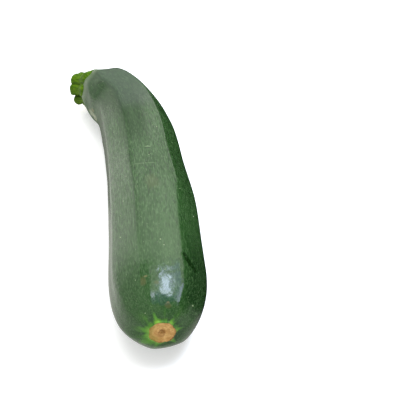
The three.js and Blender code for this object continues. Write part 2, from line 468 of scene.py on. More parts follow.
# %% [markdown]
# ## One tree that turns and bends
# The tree lays out a flat grid, one row for each point of the profile and one column for
# each point of the section. From its row and column each vertex gets a place on a
# straight fruit. There it is lifted a little by noise, because nothing grown is exactly
# round, and sunk where a crease passes. Then it is moved on to the bent centre line.
# The straight place is stored, so that the pattern can follow the bend. The stalk is
# ribbed and follows the same line, so it uses this tree too.


# %% The steps of the turning tree
def lay_out(sheet, profile, section):
    """A flat grid, and for each of its vertices the row and the column it is in."""
    rows, columns = (
        sheet.add("GeometryNodeAttributeDomainSize", None, {"Geometry": shape}).out("Point Count")
        for shape in (profile, section)
    )
    grid = sheet.add("GeometryNodeMeshGrid", None, {"Vertices X": rows, "Vertices Y": columns})
    index = sheet.add("GeometryNodeInputIndex")
    rows_before = (index + 0.5) / columns
    row = rows_before.math("FLOOR", rows_before)
    return grid, row, index - row * columns


def lumps(sheet, straight):
    """How far soft noise lifts the skin at a place."""
    spot = sheet.vector("DIVIDE", straight, sheet.thrice(sheet.given("Uneven Size")))
    spot = sheet.vector("ADD", spot, sheet.thrice(sheet.given("Seed")))
    noise = sheet.add("ShaderNodeTexNoise", None, {"Vector": spot, "Scale": 1, "Detail": 2})
    return (noise - 0.5) * 2 * sheet.given("Unevenness")


def crease_share(sheet, straight):
    """1 in the middle of a crease, 0 beyond its width or where the piece has none."""
    from_crease = {"Geometry": sheet.given_shape("Crease"), "Sample Position": straight}
    near = sheet.add("GeometryNodeProximity", {"target_element": "EDGES"}, from_crease)
    share = near.out("Distance") / sheet.given("Crease Width")
    return share.ramp(1, 0) * near.out("Is Valid")


def bend(sheet, along, turn, across, upward, radius):
    """Moves a place on the straight piece to the centre line, and never below the table."""
    curve = sheet.add("GeometryNodeMeshToCurve", None, {"Mesh": sheet.given_shape("Centre Line")})
    at = {"Curves": curve, "Length": along}
    centre = sheet.add("GeometryNodeSampleCurve", {"mode": "LENGTH"}, at).out("Position")
    forward = centre.out("Tangent")
    spoke = {"Vector": sheet.join(across, upward, 0), "Angle": turn}
    spoke = sheet.add("ShaderNodeVectorRotate", {"rotation_type": "Z_AXIS"}, spoke)
    across, upward, _ = sheet.split(spoke)
    side = sheet.vector("NORMALIZE", sheet.vector("CROSS_PRODUCT", (0, 0, 1), forward))
    top = sheet.vector("CROSS_PRODUCT", forward, side)
    side = sheet.vector("MULTIPLY", side, sheet.thrice(radius * across))
    top = sheet.vector("MULTIPLY", top, sheet.thrice(radius * upward))
    bent = sheet.vector("ADD", centre, sheet.vector("ADD", side, top))
    x, y, z = sheet.split(bent)
    return sheet.join(x, y, z.math("MAXIMUM", z, 0))


print("the steps are ready")

# %% The turning tree
TURNING_INPUTS = {
    "Object": ("Profile", "Section", "Centre Line", "Crease"),
    "Float": ("Crease Width", "Crease Depth", "Unevenness", "Uneven Size", "Seed"),
    "Material": ("Material",),
}
EVEN_UNDER, UNEVEN_FROM = 1 * MM, 4 * MM  # a radius: the poles stay closed
SAME_PLACE = 0.001 * MM


def bent_turning():
    sheet = Growth("bent_turning", TURNING_INPUTS)
    profile, section = sheet.given_shape("Profile"), sheet.given_shape("Section")
    grid, row, column = lay_out(sheet, profile, section)
    place = sheet.add("GeometryNodeInputPosition")
    radius, press, along = sheet.split(sheet.sample(profile, place, row))
    across, upward, sag = sheet.split(sheet.sample(section, place, column))
    reach = sheet.sample(profile, sheet.stored("reach"), row, "FLOAT")
    turn = sheet.sample(profile, sheet.stored("turn"), row, "FLOAT")

    hollow = press * sag
    round_radius = radius * (1 - hollow)
    straight = sheet.join(round_radius * across, round_radius * upward, along)
    lift = lumps(sheet, straight) * round_radius.ramp(EVEN_UNDER, UNEVEN_FROM)
    crease = crease_share(sheet, straight)
    lifted = round_radius + lift - crease * sheet.given("Crease Depth")
    bent = bend(sheet, along, turn, across, upward, lifted)

    shape = sheet.store(grid, "UVMap", grid.out("UV Map"), "FLOAT2", "CORNER")
    shape = sheet.store(shape, "straight", straight)
    for name, number in (("reach", reach), ("hollow", hollow), ("crease", crease)):
        shape = sheet.store(shape, name, number, "FLOAT")
    shape = sheet.add("GeometryNodeSetPosition", None, {"Geometry": shape, "Position": bent})
    closed = {"Geometry": shape, "Distance": SAME_PLACE}
    shape = sheet.add("GeometryNodeMergeByDistance", None, closed)
    shape = sheet.add("GeometryNodeFlipFaces", None, {"Mesh": shape})
    shape = sheet.add("GeometryNodeSetShadeSmooth", None, {"Geometry": shape})
    return sheet.hand_out(shape)


turning = bent_turning()
print("the turning tree has", len(turning.nodes), "nodes")

# %% [markdown]
# ## From tree to plain mesh
# A tree is a recipe, and the finished part has to be a plain mesh that any other tool
# can read. So a throwaway object carries the tree as a modifier, Blender works it out
# once, and the result is kept as a mesh of its own. Only that is part of the courgette.
# A closed, outward-facing body is easy to spoil with a flipped grid, so each new piece
# is surveyed.


# %% Growing a piece
def grow(name, tree, inputs):
    """Runs a tree with these inputs, and keeps what comes out as a plain mesh object."""
    seedling = put("seedling", bpy.data.meshes.new("seedling"))
    modifier = seedling.modifiers.new("tree", "NODES")
    modifier.node_group = tree
    for socket in tree.interface.items_tree:
        if socket.in_out == "INPUT" and socket.name in inputs:
            modifier[socket.identifier] = inputs[socket.name]
    graph = bpy.context.evaluated_depsgraph_get()
    made = bpy.data.meshes.new_from_object(seedling.evaluated_get(graph))
    bpy.data.objects.remove(seedling)
    made.name = name
    return put(name, made)


def survey(piece):
    """Says how big a piece is, and whether it is closed and faces outwards."""
    body = bmesh.new()
    body.from_mesh(piece.data)
    open_edges = sum(len(e.link_faces) != 2 for e in body.edges)
    volume = body.calc_volume(signed=True) / MM**3
    triangles = sum(len(f.verts) - 2 for f in body.faces)
    body.free()
    print(f"{piece.name}: {triangles} triangles, {open_edges} open edges, {volume:.0f} mm3")


print("grow and survey are ready")

# %% [markdown]
# ## The stalk's guides
# The stalk is a short ribbed stump. Seven rounded ribs, no two quite alike, run down it
# and end in toes that grip the fruit's shoulder. It was cut with a knife, and the cut has
# dried into a shallow dish. Its profile starts inside the fruit, where the toes sink in,
# so that no gap shows between the two.

# %% The stalk's measures, in millimetres and degrees
STALK_LENGTH = 9.5  # from the fruit's flat end to the cut
FIRST_RIB = 21
RIB_SIZES = np.array([0.93, 1.05, 0.92, 0.98, 0.96, 1.03, 0.99])
STALK_TOE = 13.4  # rib radius over the shoulder, at the waist and at the cut
STALK_WAIST = 9.6
STALK_CUT = 10.8
GROOVE_DEPTHS = np.array([0.14, 0.07, 0.2, 0.24, 0.2, 0.22, 0.32])  # each after its rib
GROOVE_SHARPNESS = 1.9
CUT_EDGE = 0.4  # how far the cut's edge is rounded
TOE_REACH = 5.2  # from the flat end back over the shoulder
CUT_DISH = 0.8


def rib_share(angle):
    """The stalk's radius at an angle as a share: rounded ribs with narrow grooves."""
    ribs = len(RIB_SIZES)
    place = np.mod((angle - FIRST_RIB) / 360 * ribs, ribs)
    rib = np.floor(place).astype(int) % ribs
    size = RIB_SIZES[rib] + (RIB_SIZES[(rib + 1) % ribs] - RIB_SIZES[rib]) * (place - rib)
    in_groove = 1 - abs(np.cos(np.pi * place))
    return size * (1 - GROOVE_DEPTHS[rib] * in_groove**GROOVE_SHARPNESS)


print("a groove is at most", GROOVE_DEPTHS.max(), "of the radius deep")

# %% The stalk's guides
SIDE_ROWS, CUT_ROWS = 85, 31
root, cut = LENGTH - TOE_REACH, LENGTH + STALK_LENGTH
side_rows = rows_through(
    [
        (STALK_TOE * 0.93, root),
        (STALK_TOE, root + 1.6),
        (STALK_TOE * 0.93, root + 4),
        (STALK_WAIST * 1.05, LENGTH + 2),
        (STALK_WAIST, LENGTH + STALK_LENGTH / 2),
        (STALK_CUT, cut - CUT_EDGE),
        (STALK_CUT * 0.97, cut),
    ],
    SIDE_ROWS,
)
cut_rows = rows_through(
    [
        (STALK_CUT * 0.97, cut),
        (STALK_CUT * 0.7, cut - CUT_DISH * 0.4),
        (STALK_CUT * 0.35, cut - CUT_DISH),
        (0, cut - CUT_DISH),
    ],
    CUT_ROWS,
)
root_rows = [(0, root), (STALK_TOE * 0.5, root)]
stalk_rows = np.vstack([root_rows, side_rows, cut_rows[1:]])
stalk_steps = np.hypot(*np.diff(stalk_rows, axis=0).T)
stalk_reach = np.concatenate([np.cumsum(stalk_steps[::-1])[::-1], [0]])  # from the cut's middle
stalk_press = np.full(len(stalk_rows), 1 / MM)  # its ribs are full all the way
STALK_SIDES = 210
stalk_angles = np.linspace(FIRST_RIB, FIRST_RIB + 360, STALK_SIDES + 1)
stalk_section = section_points(stalk_angles, 1 - rib_share(stalk_angles))
stalk_profile = np.column_stack([stalk_rows[:, 0], stalk_press, stalk_rows[:, 1]])
stalk_profile_guide = guide("stalk_profile", stalk_profile, reach=stalk_reach * MM)
stalk_section_guide = guide("stalk_section", stalk_section)
print(len(stalk_rows), "rows along the stalk")

# %% Grow both
skin = bpy.data.materials.new("waxy_green_skin")
green_ribs = bpy.data.materials.new("stalk_green_and_dry_cut")
fruit = grow(
    "fruit_skin",
    turning,
    {
        "Profile": profile_guide,
        "Section": section_guide,
        "Centre Line": line_guide,
        "Crease": crease_guide,
        "Crease Width": 2.3 * MM,
        "Crease Depth": 0.45 * MM,
        "Unevenness": 0.16 * MM,
        "Uneven Size": 19 * MM,
        "Seed": 3.0,
        "Material": skin,
    },
)
stalk = grow(
    "stalk_ribs",
    turning,
    {
        "Profile": stalk_profile_guide,
        "Section": stalk_section_guide,
        "Centre Line": line_guide,
        "Unevenness": 0.12 * MM,
        "Uneven Size": 4 * MM,
        "Seed": 8.0,
        "Material": green_ribs,
    },
)
for piece in (fruit, stalk):
    survey(piece)

# %% [markdown]
# ## Lenticels
# The skin breathes through lenticels: pale corky dots, a little raised. Modelling each
# by hand would be slow and would look too regular, so the tree puts one small dome on
# each of many points. Most points are scattered by a seed. A few larger ones are put at
# chosen places: each is given on the straight fruit, and the tree looks up where that
# place lies on the bent one.


# %% The steps of the lenticel tree
def chosen_points(sheet, body, places):
    """Points at the chosen places, each with the skin's direction and a size."""
    here = sheet.add("GeometryNodeInputPosition")
    facing = sheet.add("GeometryNodeInputNormal")
    unbent = {"Geometry": body, "Position": sheet.stored("straight", "FLOAT_VECTOR")}
    unbent = sheet.add("GeometryNodeSetPosition", None, unbent)
    nearest = sheet.add("GeometryNodeSampleNearest", None, {"Geometry": unbent})
    points = sheet.add("GeometryNodeMeshToPoints", None, {"Mesh": places})
    points = sheet.store(points, "facing", sheet.sample(body, facing, nearest))
    points = sheet.store(points, "size", sheet.given("Chosen Size"), "FLOAT")
    spot = {"Geometry": points, "Position": sheet.sample(body, here, nearest)}
    return sheet.add("GeometryNodeSetPosition", None, spot)


def scattered_points(sheet, body):
    seed = sheet.given("Seed")
    spread = {"Mesh": body, "Density": sheet.given("Density"), "Seed": seed}
    spread = sheet.add("GeometryNodeDistributePointsOnFaces", None, spread)
    spans = {"Min": sheet.given("Least Size"), "Max": sheet.given("Greatest Size"), "Seed": seed}
    size = sheet.add("FunctionNodeRandomValue", {"data_type": "FLOAT"}, spans)
    points = sheet.store(spread, "facing", spread.out("Normal"))
    return sheet.store(points, "size", size, "FLOAT")


def dome(sheet):
    """A low dome. It is repeated many times, so it has only a few faces."""
    ball = sheet.add("GeometryNodeMeshUVSphere", None, {"Segments": 8, "Rings": 4, "Radius": 1})
    width, height = sheet.given("Radius"), sheet.given("Height")
    pressed = {"Geometry": ball, "Scale": sheet.join(width, width, height)}
    pressed = sheet.add("GeometryNodeTransform", None, pressed)
    return sheet.add("GeometryNodeSetShadeSmooth", None, {"Geometry": pressed})


print("the steps are ready")

# %% The lenticel tree
LENTICEL_INPUTS = {
    "Object": ("Body", "Places"),
    "Float": ("Density", "Radius", "Height", "Least Size", "Greatest Size", "Chosen Size"),
    "Int": ("Seed",),
    "Material": ("Material",),
}


def lenticel_tree():
    sheet = Growth("lenticels", LENTICEL_INPUTS)
    body, places = sheet.given_shape("Body"), sheet.given_shape("Places")
    both = [scattered_points(sheet, body), chosen_points(sheet, body, places)]
    points = sheet.add("GeometryNodeJoinGeometry", None, {"Geometry": both})
    way = {"Vector": sheet.stored("facing", "FLOAT_VECTOR")}
    rotation = sheet.add("FunctionNodeAlignRotationToVector", {"axis": "Z"}, way)
    on = {"Points": points, "Instance": dome(sheet), "Rotation": rotation}
    on["Scale"] = sheet.thrice(sheet.stored("size"))
    return sheet.hand_out(sheet.add("GeometryNodeInstanceOnPoints", None, on))


CHOSEN_LENTICELS = [(46.0, 50.8), (96.4, 42.5), (154.0, 69.6), (153.9, 8.5)]  # degrees, along
places_guide = guide("places", [straight_place(*spot) for spot in CHOSEN_LENTICELS])
cork_dot = bpy.data.materials.new("pale_lenticel_cork")
lenticels = grow(
    "lenticels",
    lenticel_tree(),
    {
        "Body": fruit,
        "Places": places_guide,
        "Density": 2600.0,  # on a square metre
        "Seed": 7,
        "Radius": 0.24 * MM,
        "Height": 0.08 * MM,
        "Least Size": 0.5,
        "Greatest Size": 1.1,
        "Chosen Size": 1.7,
        "Material": cork_dot,
    },
)
survey(lenticels)
for used in guides:
    bpy.data.objects.remove(used)

# %% [markdown]
# ## Finishes that grow with the fruit
# A picture wrapped round the fruit would show a seam and smear at its ends, so every
# finish here is drawn from noise and from distances. Four measures of a place are
# enough: `away`, its angle from a line along the fruit; `reach`, its distance over the
# skin from the middle of the scar; `along`, its distance along the straight fruit; and
# `hollow`, how deep it lies between two ridges. They come from the numbers that the
# tree stored, so each streak bends with the fruit. A mask made of them says where a
# colour goes, and the colours are laid over one another like coats of paint.


# %% Paint
class Paint(Sheet):
    """The node tree of a material, drawn round its shader."""

    def __init__(self, material):
        material.use_nodes = True
        super().__init__(material.node_tree)
        self.shader = self.tree.nodes["Principled BSDF"]

    def set(self, values):
        """Fills the shader's own sockets."""
        self.fill(self.shader, values)

    def mix(self, share, first, second):
        """first where share is 0, second where it is 1."""
        solid = [(*c, 1) if isinstance(c, tuple) else c for c in (first, second)]
        values = {"Factor": share, "A": solid[0], "B": solid[1]}
        return self.add("ShaderNodeMix", {"data_type": "RGBA"}, values)

    def coats(self, ground, *coats):
        """Lays coats over a ground colour, each a mask, its strength and a colour."""
        for mask, strength, tint in coats:
            ground = self.mix(mask * strength, ground, tint)
        return ground


print("Paint is ready")

# %% Finish
GROWN_SIZE = (1 / MM, 1 / MM, 1 / MM)


class Finish(Paint):
    """A material that knows places on the straight fruit, in millimetres."""

    def __init__(self, material):
        super().__init__(material)
        stored = {"attribute_name": "straight"}
        straight = self.add("ShaderNodeAttribute", stored).out("Vector")
        self.grown = self.vector("MULTIPLY", straight, GROWN_SIZE)
        self.across, self.upward, self.along = self.split(self.grown)
        turn = self.upward.math("ARCTAN2", self.upward, self.across)
        self.angle = turn.math("DEGREES", turn)
        self.radius = (self.across**2 + self.upward**2) ** 0.5
        self.reach = self.stored("reach") / MM
        self.hollow = self.stored("hollow")

    def stored(self, name):
        return self.add("ShaderNodeAttribute", {"attribute_name": name}).out("Fac")

    def grain(self, size, stretch=1, detail=2, shift=0.0):
        """Noise with grains of a size in millimetres, stretched along the fruit."""
        scale = (1 / size, 1 / size, 1 / (size * stretch))
        spot = self.vector("MULTIPLY_ADD", self.grown, scale, (shift, shift, shift))
        values = {"Vector": spot, "Scale": 1, "Detail": detail}
        return self.add("ShaderNodeTexNoise", None, values)

    def waver(self, most, *grain):
        """The same noise as a number that wavers round 0."""
        return (self.grain(*grain) - 0.5) * most

    def away(self, angle):
        """Degrees between a place on the fruit and this angle round it."""
        turned = self.angle - angle
        return abs(turned.math("WRAP", turned, 180, -180))

    def arc(self, degrees):
        """The length over the skin, in millimetres, of so many degrees here."""
        return degrees * self.radius * (math.pi / 180)

    def bump(self, height):
        """Bends the light as if the surface had this relief, in millimetres."""
        values = {"Height": height, "Distance": MM, "Strength": 1}
        self.set({"Normal": self.add("ShaderNodeBump", None, values)})


print("Finish is ready")

# %% [markdown]
# ## The skin's green
# The skin is thin, waxy and deep green, and the green isn't even. It is brighter at the
# blossom end, leafier along one side, and mottled all over with faint streaks, which
# stretched as the fruit grew. So the streaks are noise that is five to thirty times as
# long as it is wide. Two coats are painted light: a pale band on the upper facet is
# painted sheen, and the far side near the blossom end is painted darker, as painted
# shade, with weaker streaks there. Each mask is a product of soft steps: where the place
# is round the fruit, and where it is along it.

# %% Greens
DEEP_GREEN = (0.0095, 0.0330, 0.0076)
LEAF_GREEN = (0.0200, 0.0600, 0.0135)
BLOSSOM_GREEN = (0.014, 0.056, 0.009)
DARKEST_GREEN = (0.0055, 0.020, 0.0045)
STREAK_AND_SHEEN_GREEN = (0.050, 0.100, 0.036)
waxy = Finish(skin)
clouds = waxy.grain(14, 3, 3).ramp(0.3, 0.7, 0.25, 0.75)
near_blossom = waxy.reach.ramp(34, 14) * waxy.away(30).ramp(120, 80)
# painted sheen: a pale band on the upper facet, beside the ridge at 124 degrees
painted_sheen_band = waxy.away(110).ramp(16, 6) * waxy.reach.ramp(32, 50) * waxy.reach.ramp(120, 80)
far_side = waxy.away(168).ramp(55, 25)
painted_shade_span = waxy.reach.ramp(10, 25) * waxy.reach.ramp(75, 45)
green = waxy.coats(
    waxy.mix(clouds, DEEP_GREEN, LEAF_GREEN),
    (near_blossom, 0.8, BLOSSOM_GREEN),
    # painted sheen
    (painted_sheen_band, 0.3, STREAK_AND_SHEEN_GREEN),
    (far_side * waxy.reach.ramp(50, 90), 0.5, LEAF_GREEN),
    # painted shade: the far side near the blossom end is darker
    (far_side * painted_shade_span, 0.8, DARKEST_GREEN),
)
print("skin: greens")

# %% Streaks
# the streaks are weaker inside that painted shade
mottle = waxy.reach.ramp(45, 110, 0.65, 0.9) - far_side * painted_shade_span * 0.25
green = waxy.coats(
    green,
    (waxy.grain(0.6, 5, 3, 5).ramp(0.45, 0.68), mottle, STREAK_AND_SHEEN_GREEN),
    (waxy.grain(0.7, 6, 3, 51).ramp(0.5, 0.68), mottle - 0.2, DARKEST_GREEN),
    (waxy.grain(1.0, 30, 3, 12).ramp(0.52, 0.75), 0.4, STREAK_AND_SHEEN_GREEN),
)
print("skin: streaks")

# %% [markdown]
# ## Lines, bands and painted light
# Along one ridge a dark line of painted shade runs beside a pale line of painted highlight,
# where the facets meet. A crease is painted darker than the skin beside it, as painted
# shade, and the tree has stored how deep in one each place lies. Towards the stalk broad
# bands are painted darker, as painted shade, the top of the shoulder is painted a bluish
# grey as painted sheen, and the skin pales where the stalk sits. All of them are coats once more.

# %% Lines and bands
CREASE_SHADE_GREEN = (0.0025, 0.013, 0.0015)
SHOULDER_SHEEN = (0.045, 0.054, 0.048)
STALK_RIM = (0.12, 0.16, 0.09)
# painted shade and painted highlight: a dark and a pale line along the ridge at 71 degrees
ridge_painted_shade = waxy.away(69.0).ramp(1.6, 0.4) * waxy.grain(3, 8, 2, 17).ramp(0.3, 0.5)
ridge_painted_highlight = waxy.away(71.7).ramp(1.1, 0.3) * waxy.grain(2, 10, 2, 23).ramp(0.4, 0.6)
lined = waxy.reach.ramp(42, 75)
# painted shade: the skin is darker down in a crease
crease_shade = waxy.stored("crease").ramp(0.05, 0.6)
# painted shade: darker bands on the shoulder and on the neck
shoulder_painted_shade = waxy.away(52).ramp(24, 14) * waxy.along.ramp(140, 155)
neck_painted_shade = waxy.away(84).ramp(34, 8) * waxy.along.ramp(110, 134) * waxy.along.ramp(168, 144)
# painted sheen: the top of the shoulder is mixed towards a bluish grey
shoulder_top_sheen = waxy.away(96).ramp(36, 20) * waxy.reach.ramp(158, 172)
green = waxy.coats(
    green,
    # painted shade and painted highlight along the ridge
    (ridge_painted_shade * lined, 0.6, DEEP_GREEN),
    (ridge_painted_highlight * lined, 0.5, STREAK_AND_SHEEN_GREEN),
    # painted shade in the crease
    (crease_shade, 0.85, CREASE_SHADE_GREEN),
    # painted shade on the shoulder and the neck
    (shoulder_painted_shade, 0.5, DARKEST_GREEN),
    (neck_painted_shade, 0.5, DARKEST_GREEN),
    # painted sheen on the top of the shoulder
    (shoulder_top_sheen * waxy.reach.ramp(214, 208), 0.45, SHOULDER_SHEEN),
    (waxy.reach.ramp(209, 215), 0.6, STALK_RIM),
)
print("skin: lines and bands")

# %% [markdown]
# ## Marks and flecks
# Leaves, stones and other fruits rub a growing courgette, and each rub heals into a tan
# or beige patch. Such marks are few and each is its own, so they are listed one by one:
# an ellipse round a place, with its edge made ragged by noise. One of them is painted
# shadow: a dark green strip just below the pale scratch. The pale flecks are many
# and alike, so they are the cells of a Voronoi texture, of which only some are chosen.

# %% Marks
FLECK = (0.16, 0.23, 0.11)
TAN, BROWN, BEIGE = (0.16, 0.14, 0.06), (0.062, 0.066, 0.020), (0.30, 0.31, 0.20)
MARKS = [  # degrees, along, half across, half along in mm, colour, strength
    (96.2, 113.6, 1.8, 0.45, FLECK, 0.6),
    (84.0, 98.6, 8.0, 0.45, FLECK, 0.22),
    (93.0, 84.0, 4.0, 6.0, BROWN, 0.25),
    # painted shadow of the pale scratch just above it
    (96.2, 112.3, 1.8, 0.55, DARKEST_GREEN, 0.6),
    (71.0, 15.2, 1.6, 2.6, BROWN, 0.65),
    (75.4, 17.2, 1.1, 0.7, TAN, 0.5),
    (88.0, 13.4, 1.5, 1.0, BROWN, 0.5),
    (104.8, 4.4, 1.7, 1.0, BROWN, 0.6),
    (104.8, 5.3, 0.8, 0.4, TAN, 0.5),
    (2.4, 185.2, 1.2, 2.4, TAN, 0.6),
    (352.0, 187.0, 2.0, 5.0, BEIGE, 0.5),
    (349.0, 181.5, 2.5, 3.5, BEIGE, 0.5),
]
ragged = waxy.waver(1.2, 1.2, 1.5, 3, 41)
for mark_angle, mark_along, across, lengthwise, tint, strength in MARKS:
    sideways = waxy.arc(waxy.away(mark_angle)) / across
    onward = (waxy.along - mark_along) / lengthwise
    distance = (sideways**2 + onward**2) ** 0.5 + ragged
    green = waxy.coats(green, (distance.ramp(1.2, 0.5), strength, tint))
print("skin:", len(MARKS), "marks")

# %% Flecks
FLECK_CELLS = (0.75, 0.75, 0.4)  # in a millimetre across and along
cells = waxy.vector("MULTIPLY", waxy.grown, FLECK_CELLS)
flecks = waxy.add("ShaderNodeTexVoronoi", None, {"Vector": cells, "Scale": 1})
chosen = waxy.split(flecks.out("Color"))[0]
dots = flecks.ramp(0.26, 0.06) * chosen.ramp(0.35, 0.95)
green = waxy.coats(green, (dots, 0.3, FLECK))
print("skin: flecks")

# %% [markdown]
# ## Rays round the blossom scar
# The flower sat on a ring at the fruit's end. Where its veins entered, short rays of
# bright green run out from the scar, tapering and wavering, with a soft bright halo
# between them. Each ray is a line of the skin at its angle, whose width shrinks with
# the reach. Where two overlap, Maximum lets the stronger one win, and none adds up.

# %% Halo
RAY_GREEN = (0.075, 0.235, 0.014)
RAY_TIP = (0.15, 0.31, 0.028)
FAN_ROUND, FAN_OUTWARD = 5, 0.12  # noise that changes fast round the scar, slowly away
spoke = [side / waxy.radius * FAN_ROUND for side in (waxy.across, waxy.upward)]
fan = waxy.join(*spoke, waxy.reach * FAN_OUTWARD)
fan = waxy.add("ShaderNodeTexNoise", None, {"Vector": fan, "Scale": 1, "Detail": 3})
near_scar = waxy.reach.ramp(19, 8.5) * waxy.away(30).ramp(150, 110)
halo = waxy.reach.ramp(10.6, 8.2) * waxy.away(30).ramp(150, 100)
green = waxy.coats(
    green,
    (near_scar * fan.ramp(0.45, 0.75), 0.4, RAY_GREEN),
    (halo * fan.ramp(0.3, 0.6), 0.6, RAY_GREEN),
)
print("skin: halo")

# %% Rays
RAYS = [  # degrees round the fruit, millimetres long, width at the scar, strength
    (74, 6.5, 2.3, 1.0),
    (128, 4.5, 1.9, 0.7),
    (173, 4.5, 1.8, 0.6),
    (16, 7.0, 3.0, 0.8),
    (350, 4.5, 2.6, 0.7),
    (322, 10.0, 7.0, 0.6),
    (290, 6.0, 3.0, 0.6),
    (232, 5.0, 1.8, 0.6),
]
SCAR_EDGE = 7.15  # millimetres of reach
LEAST_HALF_WIDTH = 0.15
wobble = waxy.waver(9, 2.2, 1, 3, 9)
rays = None
for ray_angle, ray_length, ray_width, strength in RAYS:
    share = (waxy.reach - SCAR_EDGE) / ray_length
    off = abs(waxy.arc(waxy.away(ray_angle) + wobble))
    width = (1 - share).math("MAXIMUM", 1 - share, 0) * (ray_width / 2) + LEAST_HALF_WIDTH
    ray = (off / width).ramp(2.1, 0.0) * share.ramp(1.1, 0.3, 0, strength)
    rays = ray if rays is None else rays.math("MAXIMUM", rays, ray)
at_tip = waxy.reach.ramp(SCAR_EDGE + 2.6, SCAR_EDGE + 0.4)
green = waxy.mix(rays, green, waxy.mix(at_tip, RAY_GREEN, RAY_TIP))
print("skin:", len(RAYS), "rays")

# %% [markdown]
# ## The blossom scar
# When the flower fell it left a corky disc: tan, with faint rings, a brown dimple beside
# its middle and a darker, torn rim, still fresh and greenish on one side. The disc's
# shape is in the profile already. Its colour follows the reach, unevenly, because a
# perfectly round edge would look stamped.

# %% Scar
CORK = (0.36, 0.195, 0.053)
PALE_CORK = (0.49, 0.295, 0.098)
DIMPLE_BROWN = (0.24, 0.115, 0.03)
RIM_BROWN = (0.15, 0.052, 0.018)
FRESH_RIM = (0.20, 0.16, 0.022)
RING_GAP = 1.7
uneven_reach = waxy.reach + waxy.waver(1.1, 1.6, 1, 3, 2)
ring_turns = (uneven_reach + waxy.waver(2.5, 2.5, 1, 3, 12)) * (2 * math.pi / RING_GAP)
rings = ring_turns.math("SINE", ring_turns)
from_dimple = ((waxy.across - 0.4) ** 2 + (waxy.upward + 1.4) ** 2) ** 0.5
from_dimple = from_dimple + waxy.waver(0.8, 1.5, 1, 2, 27)
dimple_ring = from_dimple.ramp(0.7, 1.2) * from_dimple.ramp(2.1, 1.5)
torn = waxy.grain(2.4, 1, 2, 13).ramp(0.4, 0.6, 0.25, 0.85)
fresh_rim = uneven_reach.ramp(3.6, 6.0) * waxy.away(355).ramp(80, 40)
cork = waxy.coats(
    waxy.mix(waxy.grain(2.6, 1, 3, 21).ramp(0.35, 0.65), CORK, PALE_CORK),
    (rings.ramp(0.2, 1), 0.25, DIMPLE_BROWN),
    (waxy.grain(0.7, 1, 4, 7).ramp(0.5, 0.75), 0.3, DIMPLE_BROWN),
    (from_dimple.ramp(2.2, 1.4) + dimple_ring, 0.35, DIMPLE_BROWN),
    (uneven_reach.ramp(6.3, 6.9), torn, RIM_BROWN),
    (fresh_rim, 0.6, FRESH_RIM),
)
is_scar = uneven_reach.ramp(SCAR_EDGE + 0.25, SCAR_EDGE - 0.25)
waxy.set({"Base Color": waxy.mix(is_scar, green, cork)})
print("scar:", RING_GAP, "mm from ring to ring")

# %% [markdown]
# ## Relief
# Skin has pores, fine fibres along its length and, near the blossom end, shallow dents
# that break a reflection into patches. All of it is far too fine for faces, so it is
# bump: the light is bent as if the relief were there. The scar's cork is rougher.

# %% Relief
pores = waxy.grain(0.45, 1.6, 2, 1) * 0.012
dents = waxy.grain(3.4, 1.3, 1, 4) * waxy.reach.ramp(60, 35) * 0.3
fibres = waxy.grain(0.6, 12, 2, 6) * 0.02
cork_relief = waxy.grain(0.5, 1, 4, 3) * 0.25 + rings * 0.05
smooth_relief = (pores + fibres) * waxy.reach.ramp(65, 85, 0.35, 1) + dents
waxy.bump(smooth_relief + (cork_relief - smooth_relief) * is_scar)
print("skin: relief")

# %% [markdown]
# ## Shine
# Wax makes the skin shine, but not like glass. The skin's own shine is fairly sharp at
# the blossom end and more smeared towards the stalk. Over it lies the bloom, a film of
# wax that scatters light more: that is the shader's coat, thick in some places and thin
# in others, and gone near the scar. Dry cork has neither.

# %% Shine
CORK_ROUGHNESS = 0.75
smear = waxy.reach.ramp(45, 80, 0.10, 0.16) + waxy.reach.ramp(150, 200, 0, 0.2)
smear = smear + waxy.reach.ramp(14, 9, 0, 0.3)
sheen = waxy.grain(5, 3, 3, 8).ramp(0.3, 0.7, 0, 0.08) + smear
patches = waxy.grain(0.6, 6, 3, 31).ramp(0.32, 0.68, 0.25, 1.15)
patches = 0.7 + (patches - 0.7) * waxy.reach.ramp(62, 90, 0.3, 1)
neck = waxy.reach.ramp(112, 156) * waxy.reach.ramp(192, 166)
neck_sides = waxy.away(116).ramp(28, 10) - waxy.away(80).ramp(34, 10)
film = waxy.reach.ramp(130, 190, 0.38, 0.10) + neck_sides * neck * 0.35
bloom = patches * film.math("MAXIMUM", film, 0) * waxy.reach.ramp(8, 13)
waxy.set({"Roughness": sheen + (CORK_ROUGHNESS - sheen) * is_scar, "IOR": 1.33})
waxy.set({"Coat Weight": bloom, "Coat Roughness": 0.15})
print("skin: shine")

# %% [markdown]
# ## The lenticels' cork
# A lenticel is a plug of the same dry cork as the scar's, but pale grey-green. It is
# matt, so it needs only a colour and a roughness, each a little uneven.

# %% Lenticel cork
PLUG_GREEN, PLUG_GREY = (0.16, 0.22, 0.10), (0.29, 0.34, 0.19)
dotted = Finish(cork_dot)
plug = dotted.mix(dotted.grain(0.4, 1, 2, 5).ramp(0.3, 0.7), PLUG_GREEN, PLUG_GREY)
dull = dotted.grain(0.3, 1, 2, 8).ramp(0.3, 0.7, 0.5, 0.7)
dotted.set({"Base Color": plug, "Roughness": dull})
print("lenticel cork")

# %% [markdown]
# ## The stalk's finish
# The ribs are fresh yellow-green, painted darker and bluer down in the grooves as painted
# shade. The cut face is dry: pale pith in the middle, a ring of fibres, and a tan edge. On
# the stalk the reach is counted from the middle of the cut, so one soft step over it
# divides the two.

